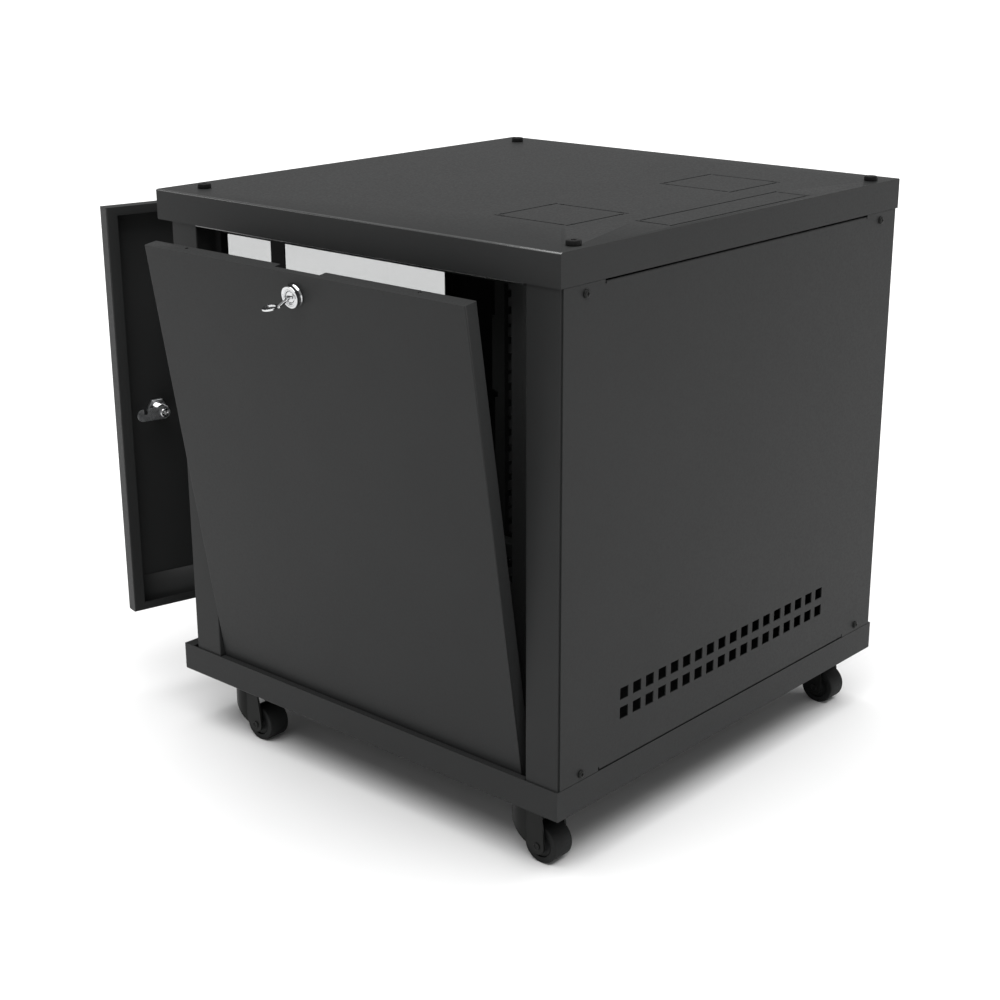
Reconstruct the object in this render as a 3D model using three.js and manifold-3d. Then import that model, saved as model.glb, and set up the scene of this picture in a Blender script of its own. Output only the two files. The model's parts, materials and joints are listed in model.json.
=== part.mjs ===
// Knock-down 19-inch network cabinet on swivel casters, 10 rack units high.
// Millimetres, +Z up. The front door faces -Y, the rear panel +Y, the right side +X.
// The origin is the centre of the base tray's underside.
import * as THREE from 'three';
import { mergeVertices } from 'three/addons/utils/BufferGeometryUtils.js';
import Module from 'manifold-3d';

const wasm = await Module();
wasm.setup();

// ---------------------------------------------------------------- driving dimensions
const WIDTH = 570;
const DEPTH = 556.2;
const HEIGHT = 549.1;
const SHEET = 1.5;
const GAP = 0.3;
const COVER_LIP = 32;
const BASE_LIP = 31.3;
const RETURN_WIDTH = 7.4;
const HINGE_LEDGE = 14;

const POST_FACE_X = 283.2;
const POST_FRONT_Y = -257;
const POST_REAR_Y = 276.3;
const FRONT_POST_BACK_Y = -217.4;
const REAR_POST_FRONT_Y = 236.3;
const POST_INNER_X = 242.4;
const POST_RETURN = 17;
const RECESS_X = 260;
const RECESS_STEP = 10.4;
const REAR_FLANGE_Y = 199;

const PANEL_FOOT_Z = 24;
const PANEL_FACE_X = 275.8;
const PANEL_HEIGHT = 487.8;
const PANEL_Y = [-216.4, 226.6];
const PANEL_DEPTH = 15.4;
const PANEL_RETURN = 14;
const PANEL_TILT_DEG = 8.91;

const MEMBER_LEG_X = 258.2;
const MEMBER_FRONT_Y = -205.2;
const TOP_MEMBER_Z = [507, 543];
const MIDDLE_MEMBER_Z = [242, 256.5];

const DOOR_HALF_WIDTH = 281.5;
const DOOR_Z = [33.7, 514.4];
const DOOR_DEPTH = 16.5;
const DOOR_SIDE_RETURN = 13;
const DOOR_END_RETURN = 9.6;
const DOOR_AJAR_DEG = 13.4;
const HINGE_X = -276;
const HINGE_Y = -272;
const WINDOW_HALF_WIDTH = 173;
const WINDOW_Z = [79, 469];
const GLASS_THICKNESS = 4;

const RACK_UNIT = 44.45;
const RACK_UNITS = 10;
const RACK_OUTER_X = 242.8;
const RACK_INNER_X = 225;
const RACK_HOLE_X = 232.55;
const RACK_HOLE = 9.5;
const RAIL_Z = [26, 541];
const FRONT_RAIL_Y = -148;
const REAR_RAIL_Y = 175;

const LOCK_RADIUS = 11;
const LOCK_FLANGE_RADIUS = 11.8;
const LOCK_PROUD = 7.5;
const CAM_OFFSET = -23;
const SIDE_LOCK_HEIGHT = 466.1;
const DOOR_LOCK_X = 231.5;
const DOOR_LOCK_Z = 274;
const CAM_REACH = 33;
const CAM_HALF_WIDTH = 7.4;

const CASTER_X = 251;
const CASTER_Y = [-201, 217];
const CASTER_TRAIL = 22;
const FORK_RADIUS = 19.9;
const FORK_HALF_WIDTH = 18;
const FORK_SHEET = 2.5;
const FORK_TOP = -6.3;
const WHEEL_RADIUS = 20.2;
const WHEEL_WIDTH = 25.8;
const HUB_Z = -46;
const AXLE_RADIUS = 3;

const BOLT_X = 250;
const BOLT_Y = [-241, 263];
const BOLT_HOLE = 3.3;
const PIN_HOLE = 3.4;
const SCREW_X = 250;
const SCREW_Z = [39, 508];
const SCREW_HOLE = 2.3;

const halfWidth = WIDTH / 2;
const halfDepth = DEPTH / 2;
const coverLipZ = HEIGHT - COVER_LIP;
const tiltRad = THREE.MathUtils.degToRad(PANEL_TILT_DEG);
const ajarRad = THREE.MathUtils.degToRad(DOOR_AJAR_DEG);

// ---------------------------------------------------------------- materials
const paint = (color, roughness) =>
  new THREE.MeshStandardMaterial({ color, roughness, metalness: 0.2 });
const graphitePaint = paint(0x3c3d3d, 0.55);
const blackPaint = paint(0x232525, 0.5);
const railPaint = paint(0x343636, 0.5);
const chrome = new THREE.MeshStandardMaterial({ color: 0xd8d8d8, roughness: 0.12, metalness: 1 });
const zinc = new THREE.MeshStandardMaterial({ color: 0xb9bcbe, roughness: 0.35, metalness: 1 });
const smokedGlass = new THREE.MeshStandardMaterial({ color: 0xb8bcbc, roughness: 0.05, metalness: 0 });
const blackPlastic = new THREE.MeshStandardMaterial({ color: 0x1c1c1c, roughness: 0.6, metalness: 0 });

// ---------------------------------------------------------------- shape helpers
// A box between two corners; each argument is a [from, to] pair.
function block(xs, ys, zs) {
  const [x0, x1] = [Math.min(...xs), Math.max(...xs)];
  const geometry = new THREE.BoxGeometry(x1 - x0, ys[1] - ys[0], zs[1] - zs[0]);
  return geometry.translate((x0 + x1) / 2, (ys[0] + ys[1]) / 2, (zs[0] + zs[1]) / 2);
}

// A cylinder along an axis, centred on the point's other two coordinates.
function rod(axis, [x, y, z], radius, [from, to], segments = 20, endRadius = radius) {
  const geometry = new THREE.CylinderGeometry(endRadius, radius, to - from, segments);
  geometry.translate(0, (from + to) / 2, 0);
  if (axis === 'x') {
    return geometry.rotateZ(-Math.PI / 2).translate(0, y, z);
  }
  if (axis === 'z') {
    return geometry.rotateX(Math.PI / 2).translate(x, y, 0);
  }
  return geometry.translate(x, 0, z);
}

// A profile of [radius, height] points turned about the Z axis.
function turned(profile, segments = 20) {
  const points = profile.map(([radius, height]) => new THREE.Vector2(radius, height));
  return new THREE.LatheGeometry(points, segments).rotateX(Math.PI / 2);
}

// A flat outline in XY made thick along Z.
function plate(shape, [z0, z1], curveSegments = 6) {
  const geometry = new THREE.ExtrudeGeometry(shape, { depth: z1 - z0, bevelEnabled: false, curveSegments });
  return geometry.translate(0, 0, z0);
}

// The outline of folded sheet: a polyline of its outer faces, thickened to one side.
function foldedSheet(corners, thickness) {
  const points = corners.map(([x, y]) => new THREE.Vector2(x, y));
  const inner = points.map((point, i) => {
    const before = points[Math.max(i - 1, 0)];
    const after = points[Math.min(i + 1, points.length - 1)];
    const enter = (i > 0 ? point.clone().sub(before) : after.clone().sub(point)).normalize();
    const leave = (after !== point ? after.clone().sub(point) : enter.clone()).normalize();
    const normalIn = new THREE.Vector2(-enter.y, enter.x);
    const normalOut = new THREE.Vector2(-leave.y, leave.x);
    const mitre = normalIn.clone().add(normalOut);
    return point.clone().addScaledVector(mitre, thickness / (1 + normalIn.dot(normalOut)));
  });
  return new THREE.Shape([...points, ...inner.reverse()]);
}

// Coordinates are rounded to a thousandth of a millimetre, so that faces meant to lie in
// one plane do.
function toSolid(geometry) {
  const bare = geometry.clone();
  bare.deleteAttribute('normal');
  bare.deleteAttribute('uv');
  const welded = mergeVertices(bare, 1e-4);
  return new wasm.Manifold(new wasm.Mesh({
    numProp: 3,
    vertProperties: welded.attributes.position.array.map((value) => Math.round(value * 1000) / 1000),
    triVerts: new Uint32Array(welded.index.array),
  }));
}

// Joins the first list of geometries, cuts the second list from them, and merges flat faces.
function carve(adds, cuts = []) {
  let solid = toSolid(adds[0]);
  adds.slice(1).forEach((extra) => { solid = solid.add(toSolid(extra)); });
  cuts.forEach((tool) => { solid = solid.subtract(toSolid(tool)); });
  const mesh = solid.asOriginal().simplify(0.002).getMesh();
  const geometry = new THREE.BufferGeometry();
  geometry.setAttribute('position', new THREE.BufferAttribute(new Float32Array(mesh.vertProperties), 3));
  geometry.setIndex(new THREE.BufferAttribute(new Uint32Array(mesh.triVerts), 1));
  geometry.computeVertexNormals();
  return geometry;
}

const cabinet = new THREE.Group();

function piece(name, geometry, material, parent = cabinet) {
  const mesh = new THREE.Mesh(geometry, material);
  mesh.name = name;
  parent.add(mesh);
  return mesh;
}

// ---------------------------------------------------------------- top cover and base tray
const coverThrough = [HEIGHT - 2 * SHEET, HEIGHT + SHEET];

// A knockout is four thin slots round a rectangle. Each slot overruns one corner and stops
// short of the next, so a small bridge at every corner holds the blank in.
function knockoutSlots([x0, x1], [y0, y1]) {
  const slot = 2.2;
  const overrun = 2.5;
  const bridge = 3.5;
  return [
    block([x0 - overrun, x1 - bridge], [y0 - slot / 2, y0 + slot / 2], coverThrough),
    block([x1 - slot / 2, x1 + slot / 2], [y0 - overrun, y1 - bridge], coverThrough),
    block([x0 + bridge, x1 + overrun], [y1 - slot / 2, y1 + slot / 2], coverThrough),
    block([x0 - slot / 2, x0 + slot / 2], [y0 + bridge, y1 + overrun], coverThrough),
  ];
}

// The pierced holes on both sides of each corner of a square knockout.
function cornerHoles(centreX, centreY, half) {
  const radius = 2.1;
  const inset = half - 8.5;
  const hole = (x, y) => rod('z', [centreX + x, centreY + y, 0], radius, coverThrough, 10);
  return [-1, 1].flatMap((a) => [-1, 1].flatMap((b) => [
    hole(a * half, b * inset),
    hole(a * inset, b * half),
  ]));
}

// The four lips of a tray, with a ledge folded in at the front for the hinge pin and a
// narrow return along each side between the posts.
function trayLips([z0, z1], ledgeZ, returnZ) {
  const sideReturnY = [FRONT_POST_BACK_Y + 1.4, REAR_POST_FRONT_Y - 1.4];
  const lips = [
    block([-halfWidth, halfWidth], [-halfDepth, -halfDepth + SHEET], [z0, z1]),
    block([-halfWidth, halfWidth], [halfDepth - SHEET, halfDepth], [z0, z1]),
    block([-halfWidth, halfWidth], [-halfDepth, -halfDepth + HINGE_LEDGE], ledgeZ),
  ];
  [-1, 1].forEach((side) => {
    const outer = side * halfWidth;
    lips.push(block([outer, outer - side * SHEET], [-halfDepth, halfDepth], [z0, z1]));
    lips.push(block([outer, outer - side * RETURN_WIDTH], sideReturnY, returnZ));
  });
  return lips;
}

function buildTopCover() {
  const fanSize = 89;
  const fanX = 131.5;
  const fanY = 150;
  const roof = block([-halfWidth, halfWidth], [-halfDepth, halfDepth], [HEIGHT - SHEET, HEIGHT]);
  const ledgeZ = [coverLipZ, coverLipZ + SHEET];
  const returnZ = [coverLipZ - SHEET, coverLipZ + GAP];
  const lips = trayLips([coverLipZ, HEIGHT], ledgeZ, returnZ);
  const cuts = knockoutSlots([-118, 114], [229, 268]);
  const half = fanSize / 2;
  [-fanX, fanX].forEach((x) => {
    cuts.push(...knockoutSlots([x - half, x + half], [fanY - half, fanY + half]));
    cuts.push(...cornerHoles(x, fanY, half));
  });
  [-BOLT_X, BOLT_X].forEach((x) => BOLT_Y.forEach((y) => {
    cuts.push(rod('z', [x, y, 0], BOLT_HOLE, [HEIGHT - 5, HEIGHT + 5]));
  }));
  cuts.push(rod('z', [HINGE_X, HINGE_Y, 0], PIN_HOLE, [coverLipZ - 5, coverLipZ + 5]));
  piece('top_cover', carve([roof, ...lips], cuts), graphitePaint);
}

function buildBaseTray() {
  const drainX = [-125, 103];
  const drainY = 219;
  const floor = block([-halfWidth, halfWidth], [-halfDepth, halfDepth], [0, SHEET]);
  const foldZ = [BASE_LIP - SHEET, BASE_LIP];
  const lips = trayLips([0, BASE_LIP], foldZ, foldZ);
  const cuts = drainX.map((x) => block([x - 5, x + 5], [drainY - 5, drainY + 5], [-5, 5]));
  cuts.push(rod('z', [HINGE_X, HINGE_Y, 0], PIN_HOLE, [BASE_LIP - 5, BASE_LIP + 5]));
  piece('base_tray', carve([floor, ...lips], cuts), graphitePaint);
}

// ---------------------------------------------------------------- corner posts
const postZ = [SHEET + GAP, HEIGHT - SHEET - GAP];

function mirrored(corners, side) {
  return corners.map(([x, y]) => [side * x, y]);
}

// A tab welded inside the post's head, drilled for the cover bolt.
function headTab(side, ys) {
  return block([side * (POST_INNER_X + 1), side * (POST_FACE_X - 0.5)], ys, [postZ[1] - 3, postZ[1]]);
}

function boltHole(side, y) {
  return rod('z', [side * BOLT_X, y, 0], BOLT_HOLE, [HEIGHT - 12, HEIGHT]);
}

// The door's cam passes through a window in the right post and turns up behind a keeper tab.
function buildFrontPost(name, side) {
  const corners = mirrored([
    [RECESS_X - 10, FRONT_POST_BACK_Y + RECESS_STEP],
    [RECESS_X, FRONT_POST_BACK_Y + RECESS_STEP],
    [RECESS_X, FRONT_POST_BACK_Y],
    [POST_FACE_X, FRONT_POST_BACK_Y],
    [POST_FACE_X, POST_FRONT_Y],
    [POST_INNER_X, POST_FRONT_Y],
    [POST_INNER_X, POST_FRONT_Y + POST_RETURN],
  ], side);
  const adds = [
    plate(foldedSheet(corners, -side * SHEET), postZ),
    headTab(side, [POST_FRONT_Y + 0.5, FRONT_POST_BACK_Y - 0.5]),
  ];
  const cuts = [boltHole(side, BOLT_Y[0])];
  if (side > 0) {
    const webBackY = POST_FRONT_Y + SHEET;
    const keeperX = [DOOR_LOCK_X - 2 * CAM_HALF_WIDTH, POST_INNER_X + SHEET];
    const camX = [DOOR_LOCK_X, DOOR_LOCK_X + CAM_REACH + 3];
    const throughY = [POST_FRONT_Y - 5, POST_FRONT_Y + POST_RETURN + 3];
    const windowZ = [DOOR_LOCK_Z - 12, DOOR_LOCK_Z + 12];
    adds.push(block(keeperX, [POST_FRONT_Y, webBackY], [windowZ[1] + 3, windowZ[1] + 20]));
    cuts.push(block(camX, throughY, windowZ));
    cuts.push(block(camX, [webBackY, throughY[1]], [windowZ[0], DOOR_LOCK_Z + CAM_REACH + 3]));
  }
  piece(name, carve(adds, cuts), graphitePaint);
}

function buildRearPost(name, side) {
  const corners = mirrored([
    [RECESS_X, REAR_FLANGE_Y],
    [RECESS_X, REAR_POST_FRONT_Y],
    [POST_FACE_X, REAR_POST_FRONT_Y],
    [POST_FACE_X, POST_REAR_Y],
    [POST_INNER_X, POST_REAR_Y],
    [POST_INNER_X, POST_REAR_Y - POST_RETURN],
  ], side);
  const adds = [
    plate(foldedSheet(corners, side * SHEET), postZ),
    headTab(side, [BOLT_Y[1] - 13, POST_REAR_Y - 0.5]),
  ];
  const cuts = [boltHole(side, BOLT_Y[1])];
  SCREW_Z.forEach((z) => {
    cuts.push(rod('y', [side * SCREW_X, 0, z], SCREW_HOLE, [POST_REAR_Y - 5, POST_REAR_Y + 5], 16));
  });
  piece(name, carve(adds, cuts), graphitePaint);
}

// ---------------------------------------------------------------- side cross members
// Each member is an angle or channel whose leg stands just inside the posts' flanges and
// whose webs reach in to the rack rails.
function buildCrossMembers(sideName, side) {
  const legX = [side * (MEMBER_LEG_X - SHEET), side * MEMBER_LEG_X];
  const webX = [side * (RACK_OUTER_X + GAP), legX[1]];
  const sillX = [webX[0], side * (PANEL_FACE_X + 0.7)];
  const memberY = [MEMBER_FRONT_Y, REAR_POST_FRONT_Y - 2.3];
  const sillY = [MEMBER_FRONT_Y, REAR_FLANGE_Y - SHEET];
  const sillZ = [postZ[0], PANEL_FOOT_Z - GAP];
  const topWeb = ([, top]) => [top - SHEET, top];
  const bottomWeb = ([bottom]) => [bottom, bottom + SHEET];
  const top = carve([
    block(legX, memberY, TOP_MEMBER_Z),
    block(webX, memberY, topWeb(TOP_MEMBER_Z)),
  ]);
  const middle = carve([
    block(legX, memberY, MIDDLE_MEMBER_Z),
    block(webX, memberY, bottomWeb(MIDDLE_MEMBER_Z)),
    block(webX, memberY, topWeb(MIDDLE_MEMBER_Z)),
  ]);
  const sill = carve([
    block(legX, sillY, sillZ),
    block(sillX, sillY, topWeb(sillZ)),
  ]);
  piece(`top_cross_member_${sideName}`, top, railPaint);
  piece(`middle_cross_member_${sideName}`, middle, railPaint);
  piece(`panel_sill_${sideName}`, sill, railPaint);
}

// ---------------------------------------------------------------- rack rails
// Angle rails with the square holes at 15.875, 15.875 and 12.7 mm in every rack unit. The
// side flange has one raised pad near each end with a small notch beyond it.
function buildRackRail(name, side, faceY, inward, flangeDepth) {
  const middleZ = (RAIL_Z[0] + RAIL_Z[1]) / 2;
  const firstHoleZ = middleZ - (RACK_UNITS * RACK_UNIT) / 2 + 6.35;
  const flangeX = [side * (RACK_OUTER_X - SHEET), side * RACK_OUTER_X];
  const span = (near, far) => [near, far].map((y) => faceY + inward * y).sort((a, b) => a - b);
  const adds = [
    block([side * RACK_INNER_X, side * RACK_OUTER_X], span(0, SHEET), RAIL_Z),
    block(flangeX, span(0, flangeDepth), RAIL_Z),
  ];
  const cuts = [];
  [-1, 1].forEach((end) => {
    const padZ = middleZ + end * 151;
    const notchZ = middleZ + end * 111.5;
    adds.push(block(flangeX, span(flangeDepth - 1, flangeDepth + 3.5), [padZ - 35.5, padZ + 35.5]));
    const notchX = [side * (RACK_OUTER_X - 3), side * (RACK_OUTER_X + 2)];
    cuts.push(block(notchX, span(flangeDepth - 3.4, flangeDepth + 5), [notchZ - 3, notchZ + 3]));
  });
  for (let unit = 0; unit < RACK_UNITS; unit += 1) {
    [0, 15.875, 31.75].forEach((step) => {
      const z = firstHoleZ + unit * RACK_UNIT + step;
      const xs = [side * RACK_HOLE_X - RACK_HOLE / 2, side * RACK_HOLE_X + RACK_HOLE / 2];
      cuts.push(block(xs, [faceY - 5, faceY + 5], [z - RACK_HOLE / 2, z + RACK_HOLE / 2]));
    });
  }
  piece(name, carve(adds, cuts), railPaint);
}

// ---------------------------------------------------------------- rear panel and its screws
function buildRearPanel() {
  const inner = halfDepth - SHEET;
  const face = [inner, inner + 1.2];
  const panelX = 280.7;
  const slitX = 222;
  const slit = 1.5;
  const relief = { half: 0.8, depth: 4.2 };
  const vent = { columns: 18, rows: 2, width: 13, height: 12.4, pitchX: 20.6, pitchZ: 20.5 };
  const ventStart = { x: -166.6, z: 81.4 };
  const panelZ = [BASE_LIP + GAP, coverLipZ - GAP];
  const adds = [
    block([-panelX, panelX], face, panelZ),
    block([-slitX, slitX], [inner - 12, inner + 0.5], [panelZ[0] + slit, panelZ[0] + slit + 1.2]),
    block([-slitX, slitX], [inner - 12, inner + 0.5], [panelZ[1] - slit - 1.2, panelZ[1] - slit]),
  ];
  const cuts = [
    block([-slitX, slitX], [inner - 1, inner + 5], [panelZ[0] - 5, panelZ[0] + slit]),
    block([-slitX, slitX], [inner - 1, inner + 5], [panelZ[1] - slit, panelZ[1] + 5]),
  ];
  [-slitX, slitX].forEach((x) => {
    const notchX = [x - relief.half, x + relief.half];
    cuts.push(block(notchX, [inner - 13, inner + 5], [panelZ[0] - 5, panelZ[0] + relief.depth]));
    cuts.push(block(notchX, [inner - 13, inner + 5], [panelZ[1] - relief.depth, panelZ[1] + 5]));
  });
  for (let column = 0; column < vent.columns; column += 1) {
    for (let row = 0; row < vent.rows; row += 1) {
      const x = ventStart.x + column * vent.pitchX;
      const z = ventStart.z + row * vent.pitchZ;
      cuts.push(block([x - vent.width / 2, x + vent.width / 2], [inner - 3, inner + 5],
        [z - vent.height / 2, z + vent.height / 2]));
    }
  }
  [-SCREW_X, SCREW_X].forEach((x) => SCREW_Z.forEach((z) => {
    cuts.push(rod('y', [x, 0, z], SCREW_HOLE, [inner - 5, inner + 5], 16));
  }));
  piece('rear_panel', carve(adds, cuts), graphitePaint);
}

function buildRearScrews() {
  const headY = halfDepth - SHEET + 1.2 + GAP;
  [-SCREW_X, SCREW_X].forEach((x) => SCREW_Z.forEach((z) => {
    const geometry = carve([
      rod('y', [x, 0, z], 4.1, [headY, headY + 1], 12),
      rod('y', [x, 0, z], 4.1, [headY + 1, headY + 2.2], 12, 2.6),
      rod('y', [x, 0, z], 2, [headY - 10, headY + 0.5], 8),
    ]);
    piece(`rear_screw_${z > 100 ? 'top' : 'bottom'}_${x > 0 ? 'right' : 'left'}`, geometry, blackPaint);
  }));
}

function buildCoverBolts() {
  const headZ = HEIGHT + GAP;
  [-BOLT_X, BOLT_X].forEach((x) => BOLT_Y.forEach((y) => {
    const geometry = carve([
      rod('z', [x, y, 0], 7.2, [headZ, headZ + 3.6], 16),
      rod('z', [x, y, 0], 7.2, [headZ + 3.6, headZ + 4.8], 16, 5.8),
      rod('z', [x, y, 0], 2.9, [headZ - 14, headZ + 0.5], 8),
    ], [rod('z', [x, y, 0], 2.2, [headZ + 2.4, headZ + 9], 6)]);
    piece(`cover_bolt_${y > 0 ? 'rear' : 'front'}_${x > 0 ? 'right' : 'left'}`, geometry, blackPlastic);
  }));
}

// ---------------------------------------------------------------- locks
// A lock is built on its own axis: local +Z points out of the door or panel, z = 0 is the
// outer skin, and the cam rests along local +X.
function camShape() {
  const arm = CAM_HALF_WIDTH;
  const tip = 7;
  const shape = new THREE.Shape();
  shape.moveTo(0, -arm);
  shape.lineTo(CAM_REACH - tip, -tip);
  shape.absarc(CAM_REACH - tip, 0, tip, -Math.PI / 2, Math.PI * 0.53);
  shape.lineTo(24.8, 0.6);
  shape.lineTo(20.6, 0.2);
  shape.lineTo(18.2, arm);
  shape.lineTo(0, arm);
  shape.absarc(0, 0, arm, Math.PI / 2, Math.PI * 1.5);
  shape.holes.push(new THREE.Path().absarc(0, 0, 3, 0, Math.PI * 2, true));
  return shape;
}

function buildLock(prefix, parent, withKey) {
  const housing = carve([
    turned([[0, -SHEET - 18], [8.5, -SHEET - 18], [8.5, GAP], [LOCK_FLANGE_RADIUS, GAP],
      [LOCK_FLANGE_RADIUS, 1.3], [11.2, 2.3], [10.8, 4.6], [LOCK_RADIUS, LOCK_PROUD - 0.8],
      [LOCK_RADIUS - 0.6, LOCK_PROUD], [0, LOCK_PROUD]]),
  ], [rod('z', [0, 0, 0], 6, [-30, LOCK_PROUD - 0.8]), rod('z', [0, 0, 0], 6.8, [LOCK_PROUD - 1, 20])]);
  const nut = carve([rod('z', [0, 0, 0], 13, [-SHEET - 5.3, -SHEET - GAP], 6)],
    [rod('z', [0, 0, 0], 8.8, [-20, 5])]);
  const keyway = block([-3.9, 3.9], [-1.3, 1.3], [-12, 20]);
  const plug = carve([
    rod('z', [0, 0, 0], 5.7, [CAM_OFFSET + GAP, LOCK_PROUD - 1.1]),
    rod('z', [0, 0, 0], 2.7, [CAM_OFFSET - 3, CAM_OFFSET + 1], 16),
    rod('z', [0, 0, 0], 5.2, [CAM_OFFSET - 4.8, CAM_OFFSET - 2.3], 20),
  ], [keyway]);
  piece(`${prefix}_lock_housing`, housing, chrome, parent);
  piece(`${prefix}_lock_nut`, nut, zinc, parent);
  piece(`${prefix}_lock_plug`, plug, chrome, parent);
  piece(`${prefix}_lock_cam`, plate(camShape(), [CAM_OFFSET - 2, CAM_OFFSET]), zinc, parent);
  if (withKey) {
    buildKey(prefix, parent);
  }
}

// A key with a straight blade, a shank that drops a little and a ring bow that lies level
// and off to one side.
function buildKey(prefix, parent) {
  const drop = 4.5;
  const shankRise = 14.5;
  const shankLength = Math.hypot(drop, shankRise) + 0.8;
  const ring = new THREE.Shape();
  ring.absellipse(-6, 4.8, 7.2, 8.6, 0, Math.PI * 2);
  ring.holes.push(new THREE.Path().absellipse(-6, 5, 4.6, 5.8, 0, Math.PI * 2, true));
  const bow = plate(ring, [-0.9, 0.9], 10).rotateX(Math.PI / 2);
  const shank = block([-1.8, 1.8], [-1, 1], [-0.5, shankLength]).rotateX(Math.atan2(drop, shankRise));
  const geometry = carve([
    block([-3.5, 3.5], [-1, 1], [-10, LOCK_PROUD + 0.5]),
    shank.translate(0, 0, LOCK_PROUD),
    bow.translate(0, -drop, LOCK_PROUD + shankRise),
  ]);
  piece(`${prefix}_key`, geometry, chrome, parent);
}

// A group whose local X, Y and Z run along the three given directions.
function orientedGroup(parent, position, xDirection, yDirection, zDirection) {
  const group = new THREE.Group();
  const basis = new THREE.Matrix4().makeBasis(xDirection, yDirection, zDirection);
  group.setRotationFromMatrix(basis);
  group.position.copy(position);
  parent.add(group);
  return group;
}

const alongX = new THREE.Vector3(1, 0, 0);
const alongY = new THREE.Vector3(0, 1, 0);
const alongZ = new THREE.Vector3(0, 0, 1);

// ---------------------------------------------------------------- side panels
// A panel is a shallow tray open to the inside, built about its bottom outer edge, which is
// the line it tilts on. outward is +1 on the right and -1 on the left.
function buildSidePanel(sideName, outward, tilt, withKey) {
  const group = new THREE.Group();
  group.position.set(outward * PANEL_FACE_X, 0, PANEL_FOOT_Z);
  group.rotation.y = outward * tilt;
  cabinet.add(group);
  const middleY = (PANEL_Y[0] + PANEL_Y[1]) / 2;
  const inX = (from, to) => [-outward * from, -outward * to];
  const lift = [GAP, PANEL_HEIGHT];
  const adds = [
    block(inX(0, 1.2), PANEL_Y, lift),
    block(inX(0, PANEL_DEPTH), PANEL_Y, [lift[0], lift[0] + 1.2]),
    block(inX(0, PANEL_DEPTH), PANEL_Y, [lift[1] - 1.2, lift[1]]),
  ];
  PANEL_Y.forEach((edge, i) => {
    const inwardY = i === 0 ? 1 : -1;
    const flangeY = [edge, edge + inwardY * 1.2].sort((a, b) => a - b);
    const returnY = [edge, edge + inwardY * PANEL_RETURN].sort((a, b) => a - b);
    adds.push(block(inX(0, PANEL_DEPTH), flangeY, lift));
    adds.push(block(inX(PANEL_DEPTH - 1.2, PANEL_DEPTH), returnY, lift));
  });
  const cuts = [
    block(inX(7.5, 20), [middleY - 32, middleY + 31], [lift[1] - 3, lift[1] + 3]),
    rod('x', [0, middleY, SIDE_LOCK_HEIGHT], 8.8, [-20, 20]),
  ];
  [-162, 162].forEach((y) => {
    cuts.push(rod('z', [-outward * 11, y, 0], 2, [lift[1] - 4, lift[1] + 4], 12));
  });
  piece(`side_panel_${sideName}`, carve(adds, cuts), graphitePaint, group);
  const seat = new THREE.Vector3(0, middleY, SIDE_LOCK_HEIGHT);
  const outDirection = alongX.clone().multiplyScalar(outward);
  const camDirection = alongY.clone().multiplyScalar(outward);
  const lockGroup = orientedGroup(group, seat, camDirection, alongZ, outDirection);
  buildLock(sideName, lockGroup, withKey);
}

// ---------------------------------------------------------------- front door
function buildDoor() {
  const group = new THREE.Group();
  group.position.set(HINGE_X, HINGE_Y, 0);
  group.rotation.z = -ajarRad;
  cabinet.add(group);
  const faceY = -halfDepth - HINGE_Y;
  const left = -DOOR_HALF_WIDTH - HINGE_X;
  const right = DOOR_HALF_WIDTH - HINGE_X;
  const centreX = -HINGE_X;
  const depthY = [faceY, faceY + DOOR_DEPTH];
  const innerY = [faceY + DOOR_DEPTH - 1.2, faceY + DOOR_DEPTH];
  const [bottom, top] = DOOR_Z;
  const adds = [
    block([left, right], [faceY, faceY + SHEET], DOOR_Z),
    block([left, left + 1.2], depthY, DOOR_Z),
    block([right - 1.2, right], depthY, DOOR_Z),
    block([left, right], depthY, [bottom, bottom + 1.2]),
    block([left, right], depthY, [top - 1.2, top]),
    block([left, left + DOOR_SIDE_RETURN], innerY, DOOR_Z),
    block([right - DOOR_SIDE_RETURN, right], innerY, DOOR_Z),
    block([left, right], innerY, [bottom, bottom + DOOR_END_RETURN]),
    block([left, right], innerY, [top - DOOR_END_RETURN, top]),
    block([left + 14, right - 14], [faceY, faceY + SHEET + 1], [bottom, 71.5]),
  ];
  const cuts = [
    block([centreX - WINDOW_HALF_WIDTH, centreX + WINDOW_HALF_WIDTH], [faceY - 5, faceY + 5], WINDOW_Z),
    rod('y', [DOOR_LOCK_X - HINGE_X, 0, DOOR_LOCK_Z], 8.8, [faceY - 5, faceY + 5]),
    rod('z', [0, 0, 0], PIN_HOLE, [bottom - 5, bottom + 5]),
    rod('z', [0, 0, 0], PIN_HOLE, [top - 5, top + 5]),
  ];
  piece('door_frame', carve(adds, cuts), graphitePaint, group);
  const glassY = [faceY + SHEET + GAP, faceY + SHEET + GAP + GLASS_THICKNESS];
  const glassX = [centreX - WINDOW_HALF_WIDTH - 9, centreX + WINDOW_HALF_WIDTH + 9];
  piece('door_glass', block(glassX, glassY, [WINDOW_Z[0] - 6.5, WINDOW_Z[1] + 9]), smokedGlass, group);
  piece('hinge_pin_bottom', hingePin(bottom, 1), zinc, group);
  piece('hinge_pin_top', hingePin(top, -1), zinc, group);
  const seat = new THREE.Vector3(DOOR_LOCK_X - HINGE_X, faceY, DOOR_LOCK_Z);
  const lockGroup = orientedGroup(group, seat, alongX, alongZ, alongY.clone().negate());
  buildLock('door', lockGroup, false);
}

// A hinge pin: a thin pin through the door's end flange into the ledge, with a collar
// on the inside. inside is +1 when the door lies above the pin.
function hingePin(edge, inside) {
  const along = (near, far) => [edge + inside * near, edge + inside * far].sort((a, b) => a - b);
  return carve([
    rod('z', [0, 0, 0], 3, along(-6, 14), 12),
    rod('z', [0, 0, 0], 4.2, along(1.2 + GAP, 8), 12),
  ]);
}

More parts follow.
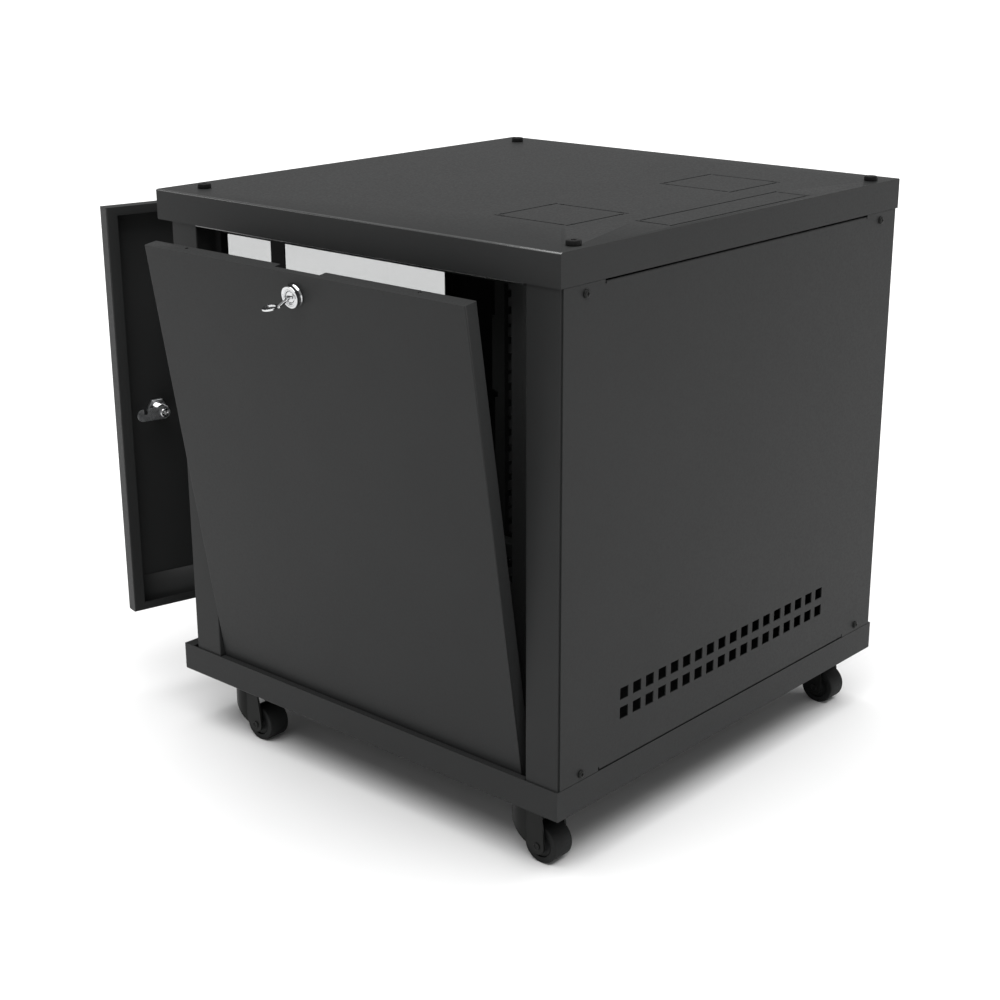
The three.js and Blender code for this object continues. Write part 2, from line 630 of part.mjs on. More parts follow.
// ---------------------------------------------------------------- casters
// The caster's parts are built about its swivel axis, with the tray's underside at z = 0.
// The outline of the fork seen from the side, in Y and Z.
function forkOutline() {
  const boss = 8.8;
  const backAngle = 0.12;
  const frontAngle = -2.5;
  const front = -FORK_RADIUS - 1;
  const shape = new THREE.Shape();
  shape.moveTo(front, FORK_TOP);
  shape.lineTo(18, FORK_TOP);
  shape.quadraticCurveTo(25.4, FORK_TOP - 0.5, 26.4, FORK_TOP - 6);
  shape.lineTo(29.4, -30);
  shape.lineTo(CASTER_TRAIL + boss * Math.cos(backAngle), HUB_Z + boss * Math.sin(backAngle));
  shape.absarc(CASTER_TRAIL, HUB_Z, boss, backAngle, frontAngle, true);
  shape.lineTo(9.5, -47);
  shape.quadraticCurveTo(-1, -38.5, -8, -31.5);
  shape.quadraticCurveTo(front, -25, front, -12);
  shape.closePath();
  return shape;
}

// A pressed fork: a round skirt about the swivel axis that runs back into two flat legs.
function casterFork() {
  const inner = FORK_HALF_WIDTH - FORK_SHEET;
  const legStart = Math.sqrt(FORK_RADIUS ** 2 - FORK_HALF_WIDTH ** 2);
  const webZ = FORK_TOP - 3;
  const lowZ = -70;
  const across = (shape, half) =>
    plate(shape, [-half, half], 4).rotateY(Math.PI / 2).rotateX(Math.PI / 2);
  const surround = new THREE.Shape();
  surround.moveTo(-60, lowZ);
  surround.lineTo(60, lowZ);
  surround.lineTo(60, 0);
  surround.lineTo(-60, 0);
  surround.holes.push(forkOutline());
  return carve([
    rod('z', [0, 0, 0], FORK_RADIUS, [lowZ + 5, FORK_TOP], 32),
    block([-FORK_HALF_WIDTH, FORK_HALF_WIDTH], [legStart, 34], [lowZ + 5, FORK_TOP]),
  ], [
    rod('z', [0, 0, 0], FORK_RADIUS - FORK_SHEET, [lowZ, webZ], 32),
    block([-inner, inner], [0, 60], [lowZ, webZ]),
    across(surround, 30),
    rod('z', [0, 0, 0], 4.4, [-20, 0], 12),
    rod('x', [0, CASTER_TRAIL, HUB_Z], AXLE_RADIUS + GAP, [-30, 30], 12),
  ]);
}

function casterWheel() {
  const w = WHEEL_WIDTH / 2;
  const r = WHEEL_RADIUS;
  const bore = AXLE_RADIUS + 0.5;
  const rightHalf = [[bore, w + 0.8], [8, w + 0.8], [8, w - 1.2], [13.2, w - 1.2], [13.2, w],
    [r - 1.2, w], [r, w - 1.2]];
  const leftHalf = rightHalf.map(([radius, z]) => [radius, -z]).reverse();
  return turned([...rightHalf, ...leftHalf, rightHalf[0]].reverse(), 24).rotateY(Math.PI / 2);
}

function buildCaster(place, x, y) {
  const group = new THREE.Group();
  group.position.set(x, y, 0);
  cabinet.add(group);
  const mount = carve([
    block([-26, 26], [-26, 26], [-GAP - 2.5, -GAP]),
    rod('z', [0, 0, 0], 17, [-6, -GAP - 1], 20),
    rod('z', [0, 0, 0], 4, [-12.4, -5], 12),
    rod('z', [0, 0, 0], 7, [-12.4, -9.6], 12),
  ]);
  piece(`caster_plate_${place}`, mount, blackPaint, group);
  piece(`caster_fork_${place}`, casterFork(), blackPaint, group);
  const wheel = piece(`caster_wheel_${place}`, casterWheel(), blackPlastic, group);
  wheel.position.set(0, CASTER_TRAIL, HUB_Z);
  const headX = FORK_HALF_WIDTH + GAP;
  const axle = carve([
    rod('x', [0, 0, 0], AXLE_RADIUS, [-headX - 0.5, headX + 0.5], 12),
    rod('x', [0, 0, 0], 4, [headX, headX + 1], 16),
    rod('x', [0, 0, 0], 4, [-headX - 1, -headX], 16),
  ], [rod('x', [0, 0, 0], 2.4, [headX + 0.4, headX + 3], 12)]);
  const bolt = piece(`caster_axle_${place}`, axle, zinc, group);
  bolt.position.copy(wheel.position);
}

// ---------------------------------------------------------------- assembly
buildTopCover();
buildBaseTray();
[['right', 1], ['left', -1]].forEach(([sideName, side]) => {
  buildFrontPost(`front_post_${sideName}`, side);
  buildRearPost(`rear_post_${sideName}`, side);
  buildCrossMembers(sideName, side);
  buildRackRail(`front_rack_rail_${sideName}`, side, FRONT_RAIL_Y, 1, 21);
  buildRackRail(`rear_rack_rail_${sideName}`, side, REAR_RAIL_Y, -1, 12);
});
buildRearPanel();
buildRearScrews();
buildCoverBolts();
buildSidePanel('right', 1, tiltRad, true);
buildSidePanel('left', -1, 0, false);
buildDoor();
[-CASTER_X, CASTER_X].forEach((x) => CASTER_Y.forEach((y) => {
  buildCaster(`${y > 0 ? 'rear' : 'front'}_${x > 0 ? 'right' : 'left'}`, x, y);
}));

export default cabinet;
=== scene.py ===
"""Looks for the network cabinet: a graphite powder-coated steel case with a glazed door."""

import json
import math

import bmesh
import bpy
from mathutils import Matrix, Vector

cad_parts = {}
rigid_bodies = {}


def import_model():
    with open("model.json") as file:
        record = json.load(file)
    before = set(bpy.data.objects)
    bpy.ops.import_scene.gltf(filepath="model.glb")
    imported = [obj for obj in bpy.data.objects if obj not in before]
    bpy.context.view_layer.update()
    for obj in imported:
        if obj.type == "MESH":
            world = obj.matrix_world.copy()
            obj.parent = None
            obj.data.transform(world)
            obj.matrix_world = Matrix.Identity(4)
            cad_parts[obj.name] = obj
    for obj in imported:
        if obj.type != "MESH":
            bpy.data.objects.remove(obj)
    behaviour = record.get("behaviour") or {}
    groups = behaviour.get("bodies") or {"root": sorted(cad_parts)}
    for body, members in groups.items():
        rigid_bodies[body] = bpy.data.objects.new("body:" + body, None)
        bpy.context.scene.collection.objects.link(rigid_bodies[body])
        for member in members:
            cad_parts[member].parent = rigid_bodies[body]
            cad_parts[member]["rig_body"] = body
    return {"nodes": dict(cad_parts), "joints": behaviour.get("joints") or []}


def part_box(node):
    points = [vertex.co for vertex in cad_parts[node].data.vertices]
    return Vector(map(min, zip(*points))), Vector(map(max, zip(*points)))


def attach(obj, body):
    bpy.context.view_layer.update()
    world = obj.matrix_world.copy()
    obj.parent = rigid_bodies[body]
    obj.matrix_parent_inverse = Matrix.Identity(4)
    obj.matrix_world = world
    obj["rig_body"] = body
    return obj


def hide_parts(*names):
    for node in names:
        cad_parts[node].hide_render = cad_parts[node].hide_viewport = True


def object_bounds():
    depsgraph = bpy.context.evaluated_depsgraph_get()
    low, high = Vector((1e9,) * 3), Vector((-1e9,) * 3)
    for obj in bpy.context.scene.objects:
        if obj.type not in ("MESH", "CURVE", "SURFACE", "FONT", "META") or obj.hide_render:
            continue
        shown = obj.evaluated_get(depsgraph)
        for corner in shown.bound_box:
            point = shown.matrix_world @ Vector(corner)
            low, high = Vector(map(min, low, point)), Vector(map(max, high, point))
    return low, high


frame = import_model()
cad_box = [list(corner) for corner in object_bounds()]

MM = 0.001
FLOOR_Z = cad_box[0][2]
SIDES = ("right", "left")
PLACES = [f"{end}_{side}" for end in ("front", "rear") for side in SIDES]
UP = Vector((0, 0, 1))


# ---------------------------------------------------------------- camera, floor and light
CAMERA_PLACE = (1.4624, 1.2612, 0.8382)
CAMERA_TURN = {"azimuth": 131.808, "elevation": 18.614, "roll": -0.204}
CAMERA_LENS = 64.85
CAMERA_SHIFT = (-0.0013, 0.0042)
FLOOR_SIZE = 60
SKY_STRENGTH = 0.36


def make_camera():
    """The camera stands behind the cabinet's right rear corner, a little above its top."""
    azimuth, elevation, roll = (math.radians(angle) for angle in CAMERA_TURN.values())
    back = Vector((
        math.sin(azimuth) * math.cos(elevation),
        -math.cos(azimuth) * math.cos(elevation),
        math.sin(elevation),
    ))
    across = UP.cross(back).normalized()
    up = back.cross(across)
    right = math.cos(roll) * across + math.sin(roll) * up
    upright = back.cross(right)
    camera = bpy.data.objects.new("camera", bpy.data.cameras.new("camera"))
    camera.data.sensor_width = 36
    camera.data.lens = CAMERA_LENS
    camera.data.shift_x, camera.data.shift_y = CAMERA_SHIFT
    turn = Matrix((right, upright, back)).transposed().to_4x4()
    camera.matrix_world = Matrix.Translation(CAMERA_PLACE) @ turn
    bpy.context.scene.collection.objects.link(camera)
    bpy.context.scene.camera = camera


def make_sun(name, azimuth, elevation, spread_angle, strength):
    """A far light. The azimuth and elevation say where it comes from, all in degrees."""
    lamp = bpy.data.lights.new(name, "SUN")
    lamp.angle = math.radians(spread_angle)
    lamp.energy = strength
    turn, rise = math.radians(azimuth), math.radians(elevation)
    source = Vector((
        math.sin(turn) * math.cos(rise), -math.cos(turn) * math.cos(rise), math.sin(rise)
    ))
    holder = bpy.data.objects.new(name, lamp)
    holder.rotation_euler = (-source).to_track_quat("-Z", "Y").to_euler()
    holder.location = source * 4
    bpy.context.scene.collection.objects.link(holder)


def make_studio():
    """An even sky, a wide light overhead, and a weak low one that picks out the cover's bends."""
    world = bpy.data.worlds.new("studio")
    bpy.context.scene.world = world
    world.use_nodes = True
    sky = world.node_tree.nodes["Background"]
    sky.inputs["Color"].default_value = (1, 1, 1, 1)
    sky.inputs["Strength"].default_value = SKY_STRENGTH
    bpy.ops.mesh.primitive_plane_add(size=FLOOR_SIZE, location=(0, 0, FLOOR_Z))
    floor = bpy.context.object
    floor.name = "studio_floor"
    material, tree, shader = new_material("studio_floor")
    shader.inputs["Roughness"].default_value = 1.0
    shader.inputs["Specular IOR Level"].default_value = 0.0
    tone(tree, shader, 3.0, (0.79, 0.79, 0.79), (0.81, 0.81, 0.81))
    floor.data.materials.append(material)
    make_sun("overhead", 118, 80, 70, 4.2)
    make_sun("rim", 246, 39, 9, 0.25)
    bpy.context.scene.view_settings.view_transform = "Standard"


# ---------------------------------------------------------------- materials
NOISE_LOW = 0.3
NOISE_HIGH = 0.7


def new_material(name):
    material = bpy.data.materials.new(name)
    material.use_nodes = True
    tree = material.node_tree
    return material, tree, tree.nodes["Principled BSDF"]


def noise(tree, scale, detail=2.0):
    """A noise in the piece's own coordinates. scale is in features per metre."""
    place = tree.nodes.new("ShaderNodeTexCoord")
    node = tree.nodes.new("ShaderNodeTexNoise")
    node.inputs["Scale"].default_value = scale
    node.inputs["Detail"].default_value = detail
    tree.links.new(place.outputs["Object"], node.inputs["Vector"])
    return node.outputs["Fac"]


def spread(tree, factor, low, high):
    """Maps the middle of a noise's range to a range of numbers."""
    node = tree.nodes.new("ShaderNodeMapRange")
    node.inputs["From Min"].default_value = NOISE_LOW
    node.inputs["From Max"].default_value = NOISE_HIGH
    node.inputs["To Min"].default_value = low
    node.inputs["To Max"].default_value = high
    tree.links.new(factor, node.inputs["Value"])
    return node.outputs["Result"]


def tone(tree, shader, scale, dark, light):
    """A base colour that drifts between two tones over the surface."""
    ramp = tree.nodes.new("ShaderNodeValToRGB")
    ramp.color_ramp.elements[0].position = NOISE_LOW
    ramp.color_ramp.elements[1].position = NOISE_HIGH
    ramp.color_ramp.elements[0].color = (*dark, 1)
    ramp.color_ramp.elements[1].color = (*light, 1)
    tree.links.new(noise(tree, scale, 3.0), ramp.inputs["Fac"])
    tree.links.new(ramp.outputs["Color"], shader.inputs["Base Color"])


def rough_skin(tree, shader, grains):
    """Bumps of the given (features per metre, height in metres, strength) on one surface."""
    normal = None
    for scale, height, strength in grains:
        bump = tree.nodes.new("ShaderNodeBump")
        bump.inputs["Distance"].default_value = height
        bump.inputs["Strength"].default_value = strength
        tree.links.new(noise(tree, scale), bump.inputs["Height"])
        if normal is not None:
            tree.links.new(normal, bump.inputs["Normal"])
        normal = bump.outputs["Normal"]
    tree.links.new(normal, shader.inputs["Normal"])


def powder_coat(name, dark, light, roughness, grain=0.5, specular=0.12):
    """Fine-texture powder coat: a faint grain under a millimetre, and a soft orange peel."""
    material, tree, shader = new_material(name)
    shader.inputs["Specular IOR Level"].default_value = specular
    tone(tree, shader, 9.0, dark, light)
    tree.links.new(
        spread(tree, noise(tree, 420.0), roughness - 0.05, roughness + 0.07),
        shader.inputs["Roughness"],
    )
    rough_skin(tree, shader, [(1500.0, 0.00004, grain), (160.0, 0.00006, grain * 0.5)])
    return material


def metal(name, dark, light, roughness, scale=60.0):
    """Plated metal, cloudy at the given scale and with a fine grain in its gloss."""
    material, tree, shader = new_material(name)
    shader.inputs["Metallic"].default_value = 1.0
    tone(tree, shader, scale, dark, light)
    tree.links.new(
        spread(tree, noise(tree, 900.0), roughness * 0.7, roughness * 1.4),
        shader.inputs["Roughness"],
    )
    rough_skin(tree, shader, [(700.0, 0.00001, 0.4)])
    return material


def plastic(name, dark, light, roughness):
    """Moulded plastic with a dull, finely pitted skin."""
    material, tree, shader = new_material(name)
    shader.inputs["Specular IOR Level"].default_value = 0.12
    tone(tree, shader, 40.0, dark, light)
    tree.links.new(
        spread(tree, noise(tree, 300.0), roughness - 0.06, roughness + 0.08),
        shader.inputs["Roughness"],
    )
    rough_skin(tree, shader, [(1100.0, 0.00003, 0.4)])
    return material


def safety_glass():
    """Clear tinted glass, with a trace of haze."""
    material, tree, shader = new_material("safety_glass")
    shader.inputs["Transmission Weight"].default_value = 1.0
    shader.inputs["IOR"].default_value = 1.45
    tone(tree, shader, 4.0, (0.455, 0.46, 0.46), (0.475, 0.48, 0.48))
    tree.links.new(
        spread(tree, noise(tree, 35.0), 0.0, 0.03), shader.inputs["Roughness"]
    )
    return material


graphite = powder_coat(
    "graphite_powder_coat", (0.0205, 0.021, 0.021), (0.0225, 0.023, 0.023), 0.44
)
# A lighter, glossier copy of the graphite coat for the cover's rounded bends: its lighter colour
# is a painted highlight along the bends
cover_bend_painted_highlight = powder_coat(
    "graphite_painted_bend_highlight", (0.036, 0.037, 0.037), (0.046, 0.047, 0.047), 0.2, specular=1.0
)
# A darker copy of the coat for the rails, cross members and sills inside the cabinet: painted
# shade for its shaded inside
rail_painted_shade = powder_coat(
    "darker_coat_painted_shade", (0.009, 0.0095, 0.0092), (0.012, 0.0125, 0.0122), 0.5
)
black_steel = powder_coat(
    "black_steel", (0.008, 0.0085, 0.008), (0.012, 0.0125, 0.012), 0.36, grain=0.3
)
chrome = metal("chrome_plate", (0.5, 0.505, 0.51), (0.62, 0.625, 0.63), 0.12)
zinc = metal("zinc_plate", (0.36, 0.37, 0.38), (0.55, 0.56, 0.57), 0.34, scale=140.0)
cap_plastic = plastic("cap_plastic", (0.006, 0.006, 0.006), (0.01, 0.01, 0.01), 0.42)
wheel_nylon = plastic("wheel_nylon", (0.008, 0.0085, 0.0085), (0.013, 0.0135, 0.0135), 0.44)
wheel_tread = plastic("wheel_tread", (0.01, 0.0105, 0.0105), (0.016, 0.0165, 0.0165), 0.62)
glass = safety_glass()


# ---------------------------------------------------------------- mesh helpers
SHARP_ANGLE = 32
MERGE_DISTANCE = 2e-6
FLAT = math.radians(0.6)
CROSS_ARM = 0.28


def body_of(node):
    return frame["nodes"][node]["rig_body"]


def add_piece(name, mesh, material, body, replaced):
    """Puts a finished mesh in the scene on a body, in place of the CAD nodes it stands for."""
    mesh.materials.clear()
    mesh.materials.append(material)
    mesh.shade_smooth()
    mesh.set_sharp_from_angle(angle=math.radians(SHARP_ANGLE))
    piece = bpy.data.objects.new(name, mesh)
    bpy.context.scene.collection.objects.link(piece)
    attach(piece, body)
    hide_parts(*replaced)
    return piece


def finished(bm, name):
    """The mesh of a new closed form, with its faces turned outward."""
    bmesh.ops.recalc_face_normals(bm, faces=bm.faces)
    return kept(bm, name)


def kept(bm, name):
    """The mesh with its faces as they are."""
    mesh = bpy.data.meshes.new(name)
    bm.to_mesh(mesh)
    bm.free()
    return mesh


BEND = 1.3 * MM
BROAD = 5 * MM
LONG = 40 * MM
STEEP = math.radians(40)


def is_broad(loop):
    """Whether the face goes on for a while inward along the whole of this edge."""
    start, end = loop.vert.co, loop.link_loop_next.vert.co
    inward = loop.face.normal.cross(end - start).normalized() * BROAD
    spots = (start.lerp(end, step / 20) + inward for step in (1, 4, 7, 10, 13, 16, 19))
    return all(bmesh.geometry.intersect_face_point(loop.face, spot) for spot in spots)


def is_bend(edge):
    """A long convex edge between two broad faces is a bend, and any other is a cut edge."""
    return (
        len(edge.link_faces) == 2
        and edge.calc_length() > LONG
        and edge.calc_face_angle_signed() > STEEP
        and all(is_broad(loop) for loop in edge.link_loops)
    )


def folded_sheet(node, material, bend=BEND):
    """A sheet-metal node with its long outer bends rounded. Its cut edges stay sharp."""
    name = f"{node}_sheet"
    bm = bmesh.new()
    bm.from_mesh(frame["nodes"][node].data)
    bmesh.ops.remove_doubles(bm, verts=bm.verts, dist=MERGE_DISTANCE)
    bmesh.ops.dissolve_limit(bm, angle_limit=FLAT, verts=bm.verts, edges=bm.edges)
    weight = bm.edges.layers.float.new("bevel_weight_edge")
    for edge in bm.edges:
        edge[weight] = 1.0 if is_bend(edge) else 0.0
    piece = add_piece(name, kept(bm, name), material, body_of(node), [node])
    bevel = piece.modifiers.new("bends", "BEVEL")
    bevel.limit_method = "WEIGHT"
    bevel.width = bend
    bevel.segments = 3
    bevel.use_clamp_overlap = False
    bevel.loop_slide = False
    bevel.harden_normals = True
    return piece


def hex_radius(apothem, angle):
    """The edge of a hexagon, as far from its centre as this angle has it."""
    sixth = math.pi / 3
    return apothem / math.cos((angle + sixth / 2) % sixth - sixth / 2)


def cross_radius(reach, arm, angle):
    """The edge of a plus-shaped recess with arms this long and half this wide."""
    quarter = math.pi / 2
    off = abs((angle + quarter / 2) % quarter - quarter / 2)
    return min(reach / math.cos(off), arm / max(math.sin(off), 1e-6))


def lathe(profile, segments=48):
    """A solid turned about Z from rings of (radius, height) in mm. A ring may name its shape:
    'hex' with its apothem as the radius, or 'cross' with its reach. A ring of radius 0 is a
    pole, and where neither end is a pole the last ring closes on the first."""
    bm = bmesh.new()
    rings = []
    for radius, height, *shape in profile:
        if radius == 0:
            rings.append([bm.verts.new((0, 0, height * MM))])
            continue
        ring = []
        for step in range(segments):
            angle = 2 * math.pi * step / segments
            reach = radius
            if shape == ["hex"]:
                reach = hex_radius(radius, angle)
            elif shape == ["cross"]:
                reach = cross_radius(radius, radius * CROSS_ARM, angle)
            ring.append(bm.verts.new((
                reach * math.cos(angle) * MM, reach * math.sin(angle) * MM, height * MM
            )))
        rings.append(ring)
    closed = len(rings[0]) > 1 and len(rings[-1]) > 1
    pairs = list(zip(rings, rings[1:])) + ([(rings[-1], rings[0])] if closed else [])
    for lower, upper in pairs:
        for step in range(segments):
            after = (step + 1) % segments
            corners = [
                lower[step % len(lower)], lower[after % len(lower)],
                upper[after % len(upper)], upper[step % len(upper)],
            ]
            bm.faces.new(list(dict.fromkeys(corners)))
    return bm


def extruded(outline, low, high, hole=None):
    """A flat plate in XY from an outline in mm. A hole has as many points as the outline."""
    bm = bmesh.new()
    loops = []
    for points in filter(None, (outline, hole)):
        for height in (low, high):
            loops.append([bm.verts.new((x * MM, y * MM, height * MM)) for x, y in points])
    count = len(outline)
    for step in range(count):
        after = (step + 1) % count
        bm.faces.new([loops[0][step], loops[0][after], loops[1][after], loops[1][step]])
        if hole:
            bm.faces.new([loops[3][step], loops[3][after], loops[2][after], loops[2][step]])
            bm.faces.new([loops[1][step], loops[1][after], loops[3][after], loops[3][step]])
            bm.faces.new([loops[2][step], loops[2][after], loops[0][after], loops[0][step]])
    if not hole:
        bm.faces.new(list(reversed(loops[0])))
        bm.faces.new(loops[1])
    return bm


def arc(x, y, radius, start, end, steps=16):
    """Points on an arc, with its angles in degrees."""
    turns = [math.radians(start + (end - start) * i / steps) for i in range(steps + 1)]
    return [(x + radius * math.cos(t), y + radius * math.sin(t)) for t in turns]


def joined(*parts):
    """Several meshes as one, each moved by its own matrix."""
    whole = bmesh.new()
    for bm, matrix in parts:
        bmesh.ops.transform(bm, matrix=matrix, verts=bm.verts)
        scrap = bpy.data.meshes.new("scrap")
        bm.to_mesh(scrap)
        bm.free()
        whole.from_mesh(scrap)
        bpy.data.meshes.remove(scrap)
    return whole


def eased(piece, width=0.2 * MM):
    """Takes the sharpness off every edge."""
    bevel = piece.modifiers.new("eased_edges", "BEVEL")
    bevel.width = width
    bevel.segments = 2
    bevel.limit_method = "ANGLE"
    bevel.angle_limit = math.radians(35)
    bevel.harden_normals = True


def placed(*position):
    return Matrix.Translation(Vector(position) * MM)


def axes_at(position, along_x, along_y, along_z):
    turn = Matrix((along_x, along_y, along_z)).transposed().to_4x4()
    return Matrix.Translation(position) @ turn


def joint_named(name):
    return next(joint for joint in frame["joints"] if joint["name"] == name)


# ---------------------------------------------------------------- sheet metal
for node in ("base_tray", "rear_panel", "door_frame"):
    folded_sheet(node, graphite)
cover = folded_sheet("top_cover", graphite, bend=1.6 * MM)
# The cover's bevelled bends take the second, lighter material, a painted highlight
cover.data.materials.append(cover_bend_painted_highlight)
cover.modifiers["bends"].material = 1
for side in SIDES:
    folded_sheet(f"side_panel_{side}", graphite, bend=1.2 * MM)
    folded_sheet(f"front_post_{side}", graphite)
    folded_sheet(f"rear_post_{side}", graphite)
    # The inner rails, cross members and sills take the darker coat, which is painted shade
    for node in ("top_cross_member", "middle_cross_member", "panel_sill"):
        folded_sheet(f"{node}_{side}", rail_painted_shade)
    for end in ("front", "rear"):
        folded_sheet(f"{end}_rack_rail_{side}", rail_painted_shade, bend=1.0 * MM)


# ---------------------------------------------------------------- glass and its fixings
def make_glass():
    bm = bmesh.new()
    bm.from_mesh(frame["nodes"]["door_glass"].data)
    bmesh.ops.remove_doubles(bm, verts=bm.verts, dist=MERGE_DISTANCE)
    pane = add_piece("door_pane", finished(bm, "door_pane"), glass, "front_door", ["door_glass"])
    eased(pane, 0.5 * MM)


make_glass()


# ---------------------------------------------------------------- bolts and screws
def make_cover_bolts():
    for place in PLACES:
        node = f"cover_bolt_{place}"
        low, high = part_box(node)
        centre = (low + high) / 2
        top = high.z / MM
        profile = [
            (0, top - 18.6), (2.9, top - 18.2), (2.9, top - 4.8), (6.9, top - 4.8),
            (7.2, top - 4.5), (7.2, top - 1.4), (6.9, top - 0.5), (6.2, top - 0.1),
            (5.6, top), (2.9, top), (2.45, top - 0.3, "hex"), (2.4, top - 2.6, "hex"),
            (0, top - 3.2),
        ]
        bm = joined((lathe(profile), Matrix.Translation((centre.x, centre.y, 0))))
        name = f"cover_bolt_cap_{place}"
        add_piece(name, finished(bm, name), cap_plastic, "cabinet", [node])


def make_rear_screws():
    for level in ("top", "bottom"):
        for side in SIDES:
            node = f"rear_screw_{level}_{side}"
            low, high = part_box(node)
            centre = (low + high) / 2
            profile = [
                (0, -11.8), (1.6, -11.4), (2.0, -10.6), (2.0, -2.2), (4.1, -2.2), (4.1, -1.3),
                (3.7, -0.6), (3.0, -0.15), (2.4, 0), (1.9, -0.1, "cross"),
                (1.2, -1.2, "cross"), (0, -1.5),
            ]
            turn = Matrix.Rotation(-math.pi / 2, 4, "X")
            bm = joined((
                lathe(profile), Matrix.Translation((centre.x, high.y, centre.z)) @ turn
            ))
            name = f"rear_pan_screw_{level}_{side}"
            add_piece(name, finished(bm, name), black_steel, "cabinet", [node])


make_cover_bolts()
make_rear_screws()


# ---------------------------------------------------------------- locks
def lock_axes(joint_name):
    """The lock's own axes: Z out of the door or panel, X where its cam rests."""
    joint = joint_named(joint_name)
    place = Vector(joint["pos_m"])
    out = -Vector(joint["axis"]).normalized()
    if out.dot(Vector((place.x, place.y, 0))) < 0:
        out.negate()
    along_x = UP.cross(out).normalized()
    return axes_at(place, along_x, out.cross(along_x), out)


def cam_outline():
    """The cam's plate: round at both ends, with a flat-bottomed notch near its tip."""
    return (
        [(0, -7.4)] + arc(26, 0, 7, -90, 95.4) + [(24.8, 0.6), (20.6, 0.2), (18.2, 7.4)]
        + arc(0, 0, 7.4, 90, 268, 24)
    )


def make_lock(prefix, joint_name, fixed_body, turning_body):
    seat = lock_axes(joint_name)
    thread = []
    for turn in range(11):
        thread += [(8.5, -19.5 + turn * 1.25), (8.05, -18.875 + turn * 1.25)]
    housing = [
        (6.1, -19.5), *thread, (8.5, -5.5), (8.5, 0.3), (11.5, 0.3), (11.8, 0.6), (11.8, 1.2),
        (11.5, 1.8), (11.1, 2.7), (10.85, 3.9), (10.8, 5.1), (10.95, 6.1), (11, 6.7),
        (10.8, 7.2), (10.3, 7.5), (8.7, 7.5), (8.4, 7.3), (7.9, 7.3), (7.6, 7.5), (7.2, 7.5),
        (6.8, 7.2), (6.75, 6.5), (6.05, 6.45),
    ]
    name = f"{prefix}_lock_barrel"
    bm = joined((lathe(housing, 64), seat))
    add_piece(name, finished(bm, name), chrome, fixed_body, [f"{prefix}_lock_housing"])
    nut = [(8.8, -6.8), (10.9, -6.8, "hex"), (11.25, -6.3, "hex"), (11.25, -2.3, "hex"),
           (10.9, -1.8, "hex"), (8.8, -1.8)]
    name = f"{prefix}_lock_hex_nut"
    bm = joined((lathe(nut, 48), seat @ Matrix.Rotation(math.pi / 6, 4, "Z")))
    add_piece(name, finished(bm, name), zinc, fixed_body, [f"{prefix}_lock_nut"])

    name = f"{prefix}_lock_cam_plate"
    bm = joined((extruded(cam_outline(), -25, -23), seat))
    eased(add_piece(name, finished(bm, name), zinc, turning_body, [f"{prefix}_lock_cam"]))
    plug = [
        (0, -27.8), (2.2, -27.8, "cross"), (2.3, -26.9, "cross"), (3.6, -27.6), (4.6, -27.4),
        (5.2, -26.8), (5.2, -25.3), (2.9, -25.3), (2.9, -22.7), (5.7, -22.7), (5.7, 5.7),
        (5.2, 6.3), (4.6, 6.4), (0, 6.4),
    ]
    name = f"{prefix}_lock_core"
    core = add_piece(name, finished(joined((lathe(plug, 64), seat)), name), chrome,
                     turning_body, [f"{prefix}_lock_plug"])
    slot = box_mesh((-3.9, 3.9), (-1.3, 1.3), (-14, 12))
    cut(core, joined((slot, seat)))


def box_mesh(xs, ys, zs):
    bm = bmesh.new()
    bmesh.ops.create_cube(bm, size=1)
    size = [(b - a) * MM for a, b in (xs, ys, zs)]
    middle = [(a + b) / 2 * MM for a, b in (xs, ys, zs)]
    bmesh.ops.scale(bm, vec=size, verts=bm.verts)
    bmesh.ops.translate(bm, vec=middle, verts=bm.verts)
    return bm


def cut(piece, bm):
    """Cuts a form out of a piece for good, and leaves no modifier behind."""
    other = bpy.data.objects.new("tool", finished(bm, "tool"))
    bpy.context.scene.collection.objects.link(other)
    step = piece.modifiers.new("boolean", "BOOLEAN")
    step.operation = "DIFFERENCE"
    step.solver = "EXACT"
    step.object = other
    bpy.context.view_layer.update()
    evaluated = piece.evaluated_get(bpy.context.evaluated_depsgraph_get())
    result = bpy.data.meshes.new_from_object(evaluated)
    piece.modifiers.clear()
    material = piece.data.materials[0]
    piece.data = result
    result.materials.clear()
    result.materials.append(material)
    bpy.data.objects.remove(other)


make_lock("door", "door_latch_turn", "front_door", "door_latch")
make_lock("right", "right_latch_turn", "right_panel", "right_latch")
make_lock("left", "left_latch_turn", "left_panel", "left_latch")


